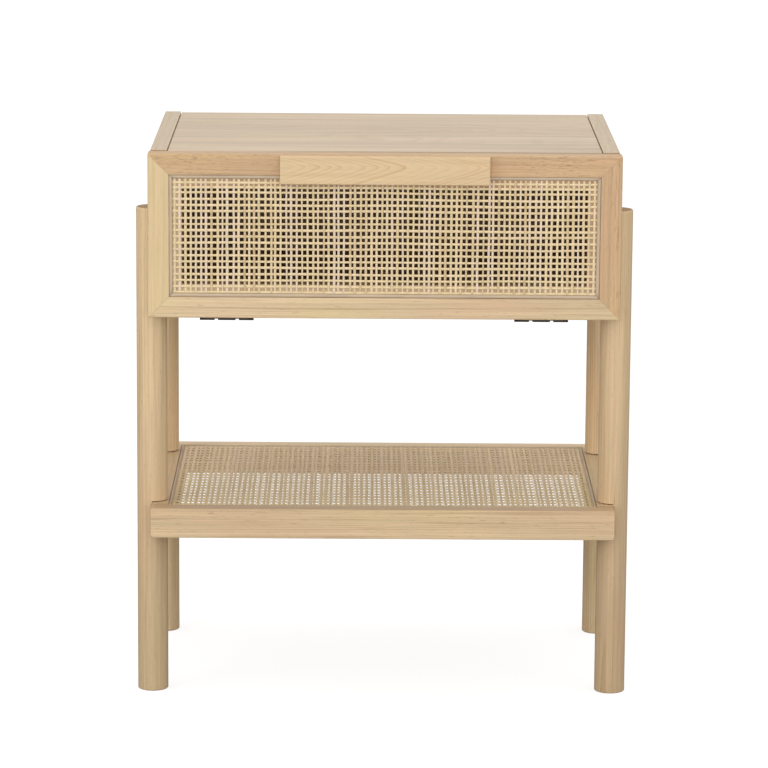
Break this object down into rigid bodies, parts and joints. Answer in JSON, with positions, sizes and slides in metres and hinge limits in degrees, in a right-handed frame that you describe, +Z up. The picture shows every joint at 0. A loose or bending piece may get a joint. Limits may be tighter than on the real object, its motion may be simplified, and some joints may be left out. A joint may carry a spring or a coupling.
{
  "type": "bedside cabinet",
  "caption": "Pine bedside cabinet on round legs, with a cane-panelled drop-down door under a bar handle and a cane shelf below.",
  "frame": {"origin": "on the floor, under the middle of the whole cabinet, handle included", "axes": "+X to the right seen from the front, +Y from the door towards the back, +Z up"},
  "size_m": [0.5, 0.338, 0.56],
  "materials": {
    "pine": "clear matt lacquer",
    "pine_handle": "clear matt lacquer",
    "plywood_back": "clear matt lacquer",
    "beech_dowel": "raw",
    "cane_webbing": "natural cane, satin",
    "reed_spline": "natural reed",
    "dark_bronze": "dark bronze plate, satin",
    "zinc_steel": "zinc plated",
    "brass": "plain",
    "catch_plastic": "matt",
    "ferrite": "matt"
  },
  "bodies": {
    "cabinet": {"left_side_panel": "pine", "right_side_panel": "pine", "top_panel": "pine", "bottom_panel": "pine", "back_panel": "plywood_back", "back_panel_brads": "zinc_steel", "box_dowels": "beech_dowel", "leg_front_left": "pine", "leg_front_right": "pine", "leg_rear_left": "pine", "leg_rear_right": "pine", "leg_bolts": "zinc_steel", "leg_inserts": "brass", "shelf_bolts": "zinc_steel", "shelf_front_rail": "pine", "shelf_back_rail": "pine", "shelf_left_rail": "pine", "shelf_right_rail": "pine", "shelf_dowels": "beech_dowel", "shelf_cane": "cane_webbing", "shelf_splines": "reed_spline", "hinge_box_leaf_left": "dark_bronze", "hinge_box_leaf_right": "dark_bronze", "hinge_pin_left": "dark_bronze", "hinge_pin_right": "dark_bronze", "hinge_box_screws": "dark_bronze", "catch_housing": "catch_plastic", "catch_pole_plates": "zinc_steel", "catch_magnet": "ferrite", "catch_screws": "zinc_steel", "stay_plate": "zinc_steel", "stay_plate_screws": "zinc_steel", "stay_base_rivet": "zinc_steel"},
    "flap": {"door_bottom_rail": "pine", "door_top_rail": "pine", "door_left_stile": "pine", "door_right_stile": "pine", "door_mitre_dowels": "beech_dowel", "door_cane": "cane_webbing", "door_splines": "reed_spline", "handle_bar": "pine_handle", "handle_screws": "zinc_steel", "hinge_door_leaf_left": "dark_bronze", "hinge_door_leaf_right": "dark_bronze", "hinge_door_screws": "dark_bronze", "catch_strike": "zinc_steel", "catch_strike_screw": "zinc_steel", "stay_door_bracket": "zinc_steel", "stay_bracket_screws": "zinc_steel", "stay_bracket_rivet": "zinc_steel"},
    "stay_arm": {"stay_arm": "zinc_steel", "stay_elbow_rivet": "zinc_steel"},
    "stay_link": {"stay_link": "zinc_steel"}
  },
  "joints": [
    {"name": "flap_hinge", "type": "hinge", "parent": "cabinet", "child": "flap", "pos_m": [0, -0.1387, 0.39095], "axis": [1, 0, 0], "range_deg": [0, 90]},
    {"name": "stay_arm_pivot", "type": "hinge", "parent": "cabinet", "child": "stay_arm", "pos_m": [0.21, -0.1037, 0.45095], "axis": [1, 0, 0], "range_deg": [0, 90]},
    {"name": "stay_elbow", "type": "hinge", "parent": "stay_arm", "child": "stay_link", "pos_m": [0.21, -0.0957, 0.51095], "axis": [1, 0, 0], "range_deg": [-90, 0]}
  ],
  "couplings": [
    {"joint": "stay_arm_pivot", "follows": "flap_hinge", "ratio": 1},
    {"joint": "stay_elbow", "follows": "flap_hinge", "ratio": -1}
  ]
}
